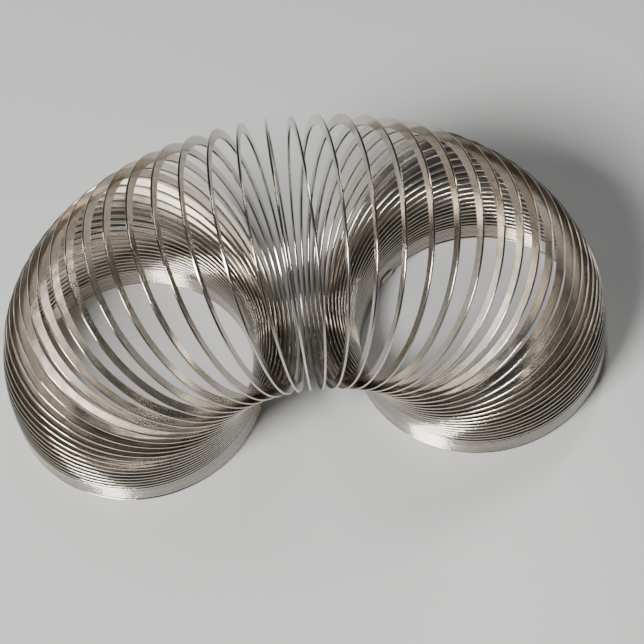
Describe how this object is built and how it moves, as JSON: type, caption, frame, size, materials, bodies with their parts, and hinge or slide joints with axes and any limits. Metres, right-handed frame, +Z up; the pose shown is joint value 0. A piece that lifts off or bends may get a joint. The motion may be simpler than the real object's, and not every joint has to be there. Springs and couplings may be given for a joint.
{
  "type": "spring coil toy",
  "caption": "Flat-wire steel spring coil toy standing as an arch on its two closed ends, its turns fanned open over the crown so that it bends, closes and stretches.",
  "frame": {"origin": "on the base plane, midway between the two standing ends of the coil, which is the middle of the bounding box's bottom", "axes": "+Z up, +X from one standing end to the other, +Y across the arch; the coil's axis lies in the XZ plane"},
  "size_m": [0.1644, 0.07, 0.0938],
  "materials": {
    "coil_steel": "polished flat spring wire",
    "crimp_steel": "satin, pressed"
  },
  "bodies": {
    "left_foot": {"left_stack_1": "coil_steel", "left_end_crimp": "crimp_steel"},
    "left_coil": {"left_stack_2": "coil_steel"},
    "turn_01": {"arch_turn_01": "coil_steel"},
    "turn_02": {"arch_turn_02": "coil_steel"},
    "turn_03": {"arch_turn_03": "coil_steel"},
    "turn_04": {"arch_turn_04": "coil_steel"},
    "turn_05": {"arch_turn_05": "coil_steel"},
    "turn_06": {"arch_turn_06": "coil_steel"},
    "turn_07": {"arch_turn_07": "coil_steel"},
    "turn_08": {"arch_turn_08": "coil_steel"},
    "turn_09": {"arch_turn_09": "coil_steel"},
    "turn_10": {"arch_turn_10": "coil_steel"},
    "turn_11": {"arch_turn_11": "coil_steel"},
    "turn_12": {"arch_turn_12": "coil_steel"},
    "turn_13": {"arch_turn_13": "coil_steel"},
    "turn_14": {"arch_turn_14": "coil_steel"},
    "turn_15": {"arch_turn_15": "coil_steel"},
    "turn_16": {"arch_turn_16": "coil_steel"},
    "turn_17": {"arch_turn_17": "coil_steel"},
    "turn_18": {"arch_turn_18": "coil_steel"},
    "turn_19": {"arch_turn_19": "coil_steel"},
    "turn_20": {"arch_turn_20": "coil_steel"},
    "turn_21": {"arch_turn_21": "coil_steel"},
    "turn_22": {"arch_turn_22": "coil_steel"},
    "turn_23": {"arch_turn_23": "coil_steel"},
    "turn_24": {"arch_turn_24": "coil_steel"},
    "turn_25": {"arch_turn_25": "coil_steel"},
    "turn_26": {"arch_turn_26": "coil_steel"},
    "turn_27": {"arch_turn_27": "coil_steel"},
    "turn_28": {"arch_turn_28": "coil_steel"},
    "turn_29": {"arch_turn_29": "coil_steel"},
    "turn_30": {"arch_turn_30": "coil_steel"},
    "turn_31": {"arch_turn_31": "coil_steel"},
    "turn_32": {"arch_turn_32": "coil_steel"},
    "turn_33": {"arch_turn_33": "coil_steel"},
    "turn_34": {"arch_turn_34": "coil_steel"},
    "turn_35": {"arch_turn_35": "coil_steel"},
    "turn_36": {"arch_turn_36": "coil_steel"},
    "turn_37": {"arch_turn_37": "coil_steel"},
    "turn_38": {"arch_turn_38": "coil_steel"},
    "turn_39": {"arch_turn_39": "coil_steel"},
    "turn_40": {"arch_turn_40": "coil_steel"},
    "turn_41": {"arch_turn_41": "coil_steel"},
    "turn_42": {"arch_turn_42": "coil_steel"},
    "turn_43": {"arch_turn_43": "coil_steel"},
    "turn_44": {"arch_turn_44": "coil_steel"},
    "turn_45": {"arch_turn_45": "coil_steel"},
    "turn_46": {"arch_turn_46": "coil_steel"},
    "turn_47": {"arch_turn_47": "coil_steel"},
    "turn_48": {"arch_turn_48": "coil_steel"},
    "turn_49": {"arch_turn_49": "coil_steel"},
    "turn_50": {"arch_turn_50": "coil_steel"},
    "turn_51": {"arch_turn_51": "coil_steel"},
    "right_coil": {"right_stack_2": "coil_steel"},
    "right_foot": {"right_stack_1": "coil_steel", "right_end_crimp": "crimp_steel"}
  },
  "joints": [
    {"name": "left_stretch", "type": "slide", "parent": "left_foot", "child": "left_coil", "axis": [0, 0, 1], "range_m": [0, 0.012], "stiffness_N_per_m": 60},
    {"name": "left_stretch_upper", "type": "slide", "parent": "left_coil", "child": "turn_01", "axis": [0, 0, 1], "range_m": [0, 0.012], "stiffness_N_per_m": 60},
    {"name": "left_bend_01", "type": "hinge", "parent": "turn_01", "child": "turn_02", "pos_m": [-0.00837, 0, 0.00777], "axis": [0, 1, 0], "range_deg": [-1.31, 0.1], "stiffness_Nm_per_rad": 0.25, "springref_deg": -1.3},
    {"name": "left_bend_02", "type": "hinge", "parent": "turn_02", "child": "turn_03", "pos_m": [-0.00835, 0, 0.00844], "axis": [0, 1, 0], "range_deg": [-1.34, 0.11], "stiffness_Nm_per_rad": 0.25, "springref_deg": -1.33},
    {"name": "left_bend_03", "type": "hinge", "parent": "turn_03", "child": "turn_04", "pos_m": [-0.00831, 0, 0.00911], "axis": [0, 1, 0], "range_deg": [-1.41, 0.11], "stiffness_Nm_per_rad": 0.25, "springref_deg": -1.4},
    {"name": "left_bend_04", "type": "hinge", "parent": "turn_04", "child": "turn_05", "pos_m": [-0.00825, 0, 0.00978], "axis": [0, 1, 0], "range_deg": [-1.51, 0.12], "stiffness_Nm_per_rad": 0.25, "springref_deg": -1.51},
    {"name": "left_bend_05", "type": "hinge", "parent": "turn_05", "child": "turn_06", "pos_m": [-0.00818, 0, 0.01044], "axis": [0, 1, 0], "range_deg": [-1.65, 0.13], "stiffness_Nm_per_rad": 0.25, "springref_deg": -1.64},
    {"name": "left_bend_06", "type": "hinge", "parent": "turn_06", "child": "turn_07", "pos_m": [-0.00808, 0, 0.01111], "axis": [0, 1, 0], "range_deg": [-1.82, 0.15], "stiffness_Nm_per_rad": 0.25, "springref_deg": -1.81},
    {"name": "left_bend_07", "type": "hinge", "parent": "turn_07", "child": "turn_08", "pos_m": [-0.00797, 0, 0.01177], "axis": [0, 1, 0], "range_deg": [-2.02, 0.16], "stiffness_Nm_per_rad": 0.25, "springref_deg": -2.01},
    {"name": "left_bend_08", "type": "hinge", "parent": "turn_08", "child": "turn_09", "pos_m": [-0.00783, 0, 0.01242], "axis": [0, 1, 0], "range_deg": [-2.24, 0.18], "stiffness_Nm_per_rad": 0.25, "springref_deg": -2.23},
    {"name": "left_bend_09", "type": "hinge", "parent": "turn_09", "child": "turn_10", "pos_m": [-0.00766, 0, 0.01307], "axis": [0, 1, 0], "range_deg": [-2.48, 0.2], "stiffness_Nm_per_rad": 0.25, "springref_deg": -2.47},
    {"name": "left_bend_10", "type": "hinge", "parent": "turn_10", "child": "turn_11", "pos_m": [-0.00746, 0, 0.01371], "axis": [0, 1, 0], "range_deg": [-2.73, 0.22], "stiffness_Nm_per_rad": 0.25, "springref_deg": -2.72},
    {"name": "left_bend_11", "type": "hinge", "parent": "turn_11", "child": "turn_12", "pos_m": [-0.00723, 0, 0.01434], "axis": [0, 1, 0], "range_deg": [-3, 0.24], "stiffness_Nm_per_rad": 0.25, "springref_deg": -2.98},
    {"name": "left_bend_12", "type": "hinge", "parent": "turn_12", "child": "turn_13", "pos_m": [-0.00697, 0, 0.01496], "axis": [0, 1, 0], "range_deg": [-3.27, 0.26], "stiffness_Nm_per_rad": 0.25, "springref_deg": -3.25},
    {"name": "left_bend_13", "type": "hinge", "parent": "turn_13", "child": "turn_14", "pos_m": [-0.00667, 0, 0.01556], "axis": [0, 1, 0], "range_deg": [-3.54, 0.28], "stiffness_Nm_per_rad": 0.25, "springref_deg": -3.52},
    {"name": "left_bend_14", "type": "hinge", "parent": "turn_14", "child": "turn_15", "pos_m": [-0.00634, 0, 0.01614], "axis": [0, 1, 0], "range_deg": [-3.81, 0.3], "stiffness_Nm_per_rad": 0.25, "springref_deg": -3.79},
    {"name": "left_bend_15", "type": "hinge", "parent": "turn_15", "child": "turn_16", "pos_m": [-0.00596, 0, 0.01669], "axis": [0, 1, 0], "range_deg": [-4.07, 0.33], "stiffness_Nm_per_rad": 0.25, "springref_deg": -4.05},
    {"name": "left_bend_16", "type": "hinge", "parent": "turn_16", "child": "turn_17", "pos_m": [-0.00555, 0, 0.01722], "axis": [0, 1, 0], "range_deg": [-4.32, 0.35], "stiffness_Nm_per_rad": 0.25, "springref_deg": -4.3},
    {"name": "left_bend_17", "type": "hinge", "parent": "turn_17", "child": "turn_18", "pos_m": [-0.00509, 0, 0.01771], "axis": [0, 1, 0], "range_deg": [-4.56, 0.36], "stiffness_Nm_per_rad": 0.25, "springref_deg": -4.53},
    {"name": "left_bend_18", "type": "hinge", "parent": "turn_18", "child": "turn_19", "pos_m": [-0.0046, 0, 0.01817], "axis": [0, 1, 0], "range_deg": [-4.78, 0.38], "stiffness_Nm_per_rad": 0.25, "springref_deg": -4.75},
    {"name": "left_bend_19", "type": "hinge", "parent": "turn_19", "child": "turn_20", "pos_m": [-0.00407, 0, 0.01858], "axis": [0, 1, 0], "range_deg": [-4.98, 0.4], "stiffness_Nm_per_rad": 0.25, "springref_deg": -4.96},
    {"name": "left_bend_20", "type": "hinge", "parent": "turn_20", "child": "turn_21", "pos_m": [-0.00351, 0, 0.01894], "axis": [0, 1, 0], "range_deg": [-5.16, 0.41], "stiffness_Nm_per_rad": 0.25, "springref_deg": -5.13},
    {"name": "left_bend_21", "type": "hinge", "parent": "turn_21", "child": "turn_22", "pos_m": [-0.00292, 0, 0.01925], "axis": [0, 1, 0], "range_deg": [-5.32, 0.43], "stiffness_Nm_per_rad": 0.25, "springref_deg": -5.29},
    {"name": "left_bend_22", "type": "hinge", "parent": "turn_22", "child": "turn_23", "pos_m": [-0.0023, 0, 0.01951], "axis": [0, 1, 0], "range_deg": [-5.45, 0.44], "stiffness_Nm_per_rad": 0.25, "springref_deg": -5.42},
    {"name": "left_bend_23", "type": "hinge", "parent": "turn_23", "child": "turn_24", "pos_m": [-0.00166, 0, 0.0197], "axis": [0, 1, 0], "range_deg": [-5.55, 0.44], "stiffness_Nm_per_rad": 0.25, "springref_deg": -5.52},
    {"name": "left_bend_24", "type": "hinge", "parent": "turn_24", "child": "turn_25", "pos_m": [-0.001, 0, 0.01983], "axis": [0, 1, 0], "range_deg": [-5.62, 0.45], "stiffness_Nm_per_rad": 0.25, "springref_deg": -5.6},
    {"name": "left_arch_bend", "type": "hinge", "parent": "turn_25", "child": "turn_26", "pos_m": [-0.00033, 0, 0.0199], "axis": [0, 1, 0], "range_deg": [-5.64, 0.45], "stiffness_Nm_per_rad": 0.25, "springref_deg": -5.64},
    {"name": "right_arch_bend", "type": "hinge", "parent": "turn_26", "child": "turn_27", "pos_m": [0.00033, 0, 0.0199], "axis": [0, 1, 0], "range_deg": [-5.64, 0.45], "stiffness_Nm_per_rad": 0.25, "springref_deg": -5.64},
    {"name": "right_bend_27", "type": "hinge", "parent": "turn_27", "child": "turn_28", "pos_m": [0.001, 0, 0.01983], "axis": [0, 1, 0], "range_deg": [-5.62, 0.45], "stiffness_Nm_per_rad": 0.25, "springref_deg": -5.6},
    {"name": "right_bend_28", "type": "hinge", "parent": "turn_28", "child": "turn_29", "pos_m": [0.00166, 0, 0.0197], "axis": [0, 1, 0], "range_deg": [-5.55, 0.44], "stiffness_Nm_per_rad": 0.25, "springref_deg": -5.52},
    {"name": "right_bend_29", "type": "hinge", "parent": "turn_29", "child": "turn_30", "pos_m": [0.0023, 0, 0.01951], "axis": [0, 1, 0], "range_deg": [-5.45, 0.44], "stiffness_Nm_per_rad": 0.25, "springref_deg": -5.42},
    {"name": "right_bend_30", "type": "hinge", "parent": "turn_30", "child": "turn_31", "pos_m": [0.00292, 0, 0.01925], "axis": [0, 1, 0], "range_deg": [-5.32, 0.43], "stiffness_Nm_per_rad": 0.25, "springref_deg": -5.29},
    {"name": "right_bend_31", "type": "hinge", "parent": "turn_31", "child": "turn_32", "pos_m": [0.00351, 0, 0.01894], "axis": [0, 1, 0], "range_deg": [-5.16, 0.41], "stiffness_Nm_per_rad": 0.25, "springref_deg": -5.13},
    {"name": "right_bend_32", "type": "hinge", "parent": "turn_32", "child": "turn_33", "pos_m": [0.00407, 0, 0.01858], "axis": [0, 1, 0], "range_deg": [-4.98, 0.4], "stiffness_Nm_per_rad": 0.25, "springref_deg": -4.96},
    {"name": "right_bend_33", "type": "hinge", "parent": "turn_33", "child": "turn_34", "pos_m": [0.0046, 0, 0.01817], "axis": [0, 1, 0], "range_deg": [-4.78, 0.38], "stiffness_Nm_per_rad": 0.25, "springref_deg": -4.75},
    {"name": "right_bend_34", "type": "hinge", "parent": "turn_34", "child": "turn_35", "pos_m": [0.00509, 0, 0.01771], "axis": [0, 1, 0], "range_deg": [-4.56, 0.36], "stiffness_Nm_per_rad": 0.25, "springref_deg": -4.53},
    {"name": "right_bend_35", "type": "hinge", "parent": "turn_35", "child": "turn_36", "pos_m": [0.00555, 0, 0.01722], "axis": [0, 1, 0], "range_deg": [-4.32, 0.35], "stiffness_Nm_per_rad": 0.25, "springref_deg": -4.3},
    {"name": "right_bend_36", "type": "hinge", "parent": "turn_36", "child": "turn_37", "pos_m": [0.00596, 0, 0.01669], "axis": [0, 1, 0], "range_deg": [-4.07, 0.33], "stiffness_Nm_per_rad": 0.25, "springref_deg": -4.05},
    {"name": "right_bend_37", "type": "hinge", "parent": "turn_37", "child": "turn_38", "pos_m": [0.00634, 0, 0.01614], "axis": [0, 1, 0], "range_deg": [-3.81, 0.3], "stiffness_Nm_per_rad": 0.25, "springref_deg": -3.79},
    {"name": "right_bend_38", "type": "hinge", "parent": "turn_38", "child": "turn_39", "pos_m": [0.00667, 0, 0.01556], "axis": [0, 1, 0], "range_deg": [-3.54, 0.28], "stiffness_Nm_per_rad": 0.25, "springref_deg": -3.52},
    {"name": "right_bend_39", "type": "hinge", "parent": "turn_39", "child": "turn_40", "pos_m": [0.00697, 0, 0.01496], "axis": [0, 1, 0], "range_deg": [-3.27, 0.26], "stiffness_Nm_per_rad": 0.25, "springref_deg": -3.25},
    {"name": "right_bend_40", "type": "hinge", "parent": "turn_40", "child": "turn_41", "pos_m": [0.00723, 0, 0.01434], "axis": [0, 1, 0], "range_deg": [-3, 0.24], "stiffness_Nm_per_rad": 0.25, "springref_deg": -2.98},
    {"name": "right_bend_41", "type": "hinge", "parent": "turn_41", "child": "turn_42", "pos_m": [0.00746, 0, 0.01371], "axis": [0, 1, 0], "range_deg": [-2.73, 0.22], "stiffness_Nm_per_rad": 0.25, "springref_deg": -2.72},
    {"name": "right_bend_42", "type": "hinge", "parent": "turn_42", "child": "turn_43", "pos_m": [0.00766, 0, 0.01307], "axis": [0, 1, 0], "range_deg": [-2.48, 0.2], "stiffness_Nm_per_rad": 0.25, "springref_deg": -2.47},
    {"name": "right_bend_43", "type": "hinge", "parent": "turn_43", "child": "turn_44", "pos_m": [0.00783, 0, 0.01242], "axis": [0, 1, 0], "range_deg": [-2.24, 0.18], "stiffness_Nm_per_rad": 0.25, "springref_deg": -2.23},
    {"name": "right_bend_44", "type": "hinge", "parent": "turn_44", "child": "turn_45", "pos_m": [0.00797, 0, 0.01177], "axis": [0, 1, 0], "range_deg": [-2.02, 0.16], "stiffness_Nm_per_rad": 0.25, "springref_deg": -2.01},
    {"name": "right_bend_45", "type": "hinge", "parent": "turn_45", "child": "turn_46", "pos_m": [0.00808, 0, 0.01111], "axis": [0, 1, 0], "range_deg": [-1.82, 0.15], "stiffness_Nm_per_rad": 0.25, "springref_deg": -1.81},
    {"name": "right_bend_46", "type": "hinge", "parent": "turn_46", "child": "turn_47", "pos_m": [0.00818, 0, 0.01044], "axis": [0, 1, 0], "range_deg": [-1.65, 0.13], "stiffness_Nm_per_rad": 0.25, "springref_deg": -1.64},
    {"name": "right_bend_47", "type": "hinge", "parent": "turn_47", "child": "turn_48", "pos_m": [0.00825, 0, 0.00978], "axis": [0, 1, 0], "range_deg": [-1.51, 0.12], "stiffness_Nm_per_rad": 0.25, "springref_deg": -1.51},
    {"name": "right_bend_48", "type": "hinge", "parent": "turn_48", "child": "turn_49", "pos_m": [0.00831, 0, 0.00911], "axis": [0, 1, 0], "range_deg": [-1.41, 0.11], "stiffness_Nm_per_rad": 0.25, "springref_deg": -1.4},
    {"name": "right_bend_49", "type": "hinge", "parent": "turn_49", "child": "turn_50", "pos_m": [0.00835, 0, 0.00844], "axis": [0, 1, 0], "range_deg": [-1.34, 0.11], "stiffness_Nm_per_rad": 0.25, "springref_deg": -1.33},
    {"name": "right_bend_50", "type": "hinge", "parent": "turn_50", "child": "turn_51", "pos_m": [0.00837, 0, 0.00777], "axis": [0, 1, 0], "range_deg": [-1.31, 0.1], "stiffness_Nm_per_rad": 0.25, "springref_deg": -1.3},
    {"name": "right_stretch", "type": "slide", "parent": "turn_51", "child": "right_coil", "axis": [0, 0, -1], "range_m": [0, 0.012], "stiffness_N_per_m": 60},
    {"name": "right_stretch_lower", "type": "slide", "parent": "right_coil", "child": "right_foot", "axis": [0, 0, -1], "range_m": [0, 0.012], "stiffness_N_per_m": 60}
  ],
  "couplings": [
    {"joint": "left_stretch_upper", "follows": "left_stretch", "ratio": 1},
    {"joint": "left_bend_01", "follows": "left_arch_bend", "ratio": 0.23114},
    {"joint": "left_bend_02", "follows": "left_arch_bend", "ratio": 0.23659},
    {"joint": "left_bend_03", "follows": "left_arch_bend", "ratio": 0.24855},
    {"joint": "left_bend_04", "follows": "left_arch_bend", "ratio": 0.26699},
    {"joint": "left_bend_05", "follows": "left_arch_bend", "ratio": 0.29151},
    {"joint": "left_bend_06", "follows": "left_arch_bend", "ratio": 0.32154},
    {"joint": "left_bend_07", "follows": "left_arch_bend", "ratio": 0.35639},
    {"joint": "left_bend_08", "follows": "left_arch_bend", "ratio": 0.39531},
    {"joint": "left_bend_09", "follows": "left_arch_bend", "ratio": 0.43755},
    {"joint": "left_bend_10", "follows": "left_arch_bend", "ratio": 0.4823},
    {"joint": "left_bend_11", "follows": "left_arch_bend", "ratio": 0.52881},
    {"joint": "left_bend_12", "follows": "left_arch_bend", "ratio": 0.5763},
    {"joint": "left_bend_13", "follows": "left_arch_bend", "ratio": 0.62403},
    {"joint": "left_bend_14", "follows": "left_arch_bend", "ratio": 0.67129},
    {"joint": "left_bend_15", "follows": "left_arch_bend", "ratio": 0.7174},
    {"joint": "left_bend_16", "follows": "left_arch_bend", "ratio": 0.76174},
    {"joint": "left_bend_17", "follows": "left_arch_bend", "ratio": 0.8037},
    {"joint": "left_bend_18", "follows": "left_arch_bend", "ratio": 0.84275},
    {"joint": "left_bend_19", "follows": "left_arch_bend", "ratio": 0.87839},
    {"joint": "left_bend_20", "follows": "left_arch_bend", "ratio": 0.91018},
    {"joint": "left_bend_21", "follows": "left_arch_bend", "ratio": 0.93775},
    {"joint": "left_bend_22", "follows": "left_arch_bend", "ratio": 0.96075},
    {"joint": "left_bend_23", "follows": "left_arch_bend", "ratio": 0.97893},
    {"joint": "left_bend_24", "follows": "left_arch_bend", "ratio": 0.99206},
    {"joint": "right_bend_27", "follows": "right_arch_bend", "ratio": 0.99206},
    {"joint": "right_bend_28", "follows": "right_arch_bend", "ratio": 0.97893},
    {"joint": "right_bend_29", "follows": "right_arch_bend", "ratio": 0.96075},
    {"joint": "right_bend_30", "follows": "right_arch_bend", "ratio": 0.93775},
    {"joint": "right_bend_31", "follows": "right_arch_bend", "ratio": 0.91018},
    {"joint": "right_bend_32", "follows": "right_arch_bend", "ratio": 0.87839},
    {"joint": "right_bend_33", "follows": "right_arch_bend", "ratio": 0.84275},
    {"joint": "right_bend_34", "follows": "right_arch_bend", "ratio": 0.8037},
    {"joint": "right_bend_35", "follows": "right_arch_bend", "ratio": 0.76174},
    {"joint": "right_bend_36", "follows": "right_arch_bend", "ratio": 0.7174},
    {"joint": "right_bend_37", "follows": "right_arch_bend", "ratio": 0.67129},
    {"joint": "right_bend_38", "follows": "right_arch_bend", "ratio": 0.62403},
    {"joint": "right_bend_39", "follows": "right_arch_bend", "ratio": 0.5763},
    {"joint": "right_bend_40", "follows": "right_arch_bend", "ratio": 0.52881},
    {"joint": "right_bend_41", "follows": "right_arch_bend", "ratio": 0.4823},
    {"joint": "right_bend_42", "follows": "right_arch_bend", "ratio": 0.43755},
    {"joint": "right_bend_43", "follows": "right_arch_bend", "ratio": 0.39531},
    {"joint": "right_bend_44", "follows": "right_arch_bend", "ratio": 0.35639},
    {"joint": "right_bend_45", "follows": "right_arch_bend", "ratio": 0.32154},
    {"joint": "right_bend_46", "follows": "right_arch_bend", "ratio": 0.29151},
    {"joint": "right_bend_47", "follows": "right_arch_bend", "ratio": 0.26699},
    {"joint": "right_bend_48", "follows": "right_arch_bend", "ratio": 0.24855},
    {"joint": "right_bend_49", "follows": "right_arch_bend", "ratio": 0.23659},
    {"joint": "right_bend_50", "follows": "right_arch_bend", "ratio": 0.23114},
    {"joint": "right_stretch_lower", "follows": "right_stretch", "ratio": 1}
  ]
}
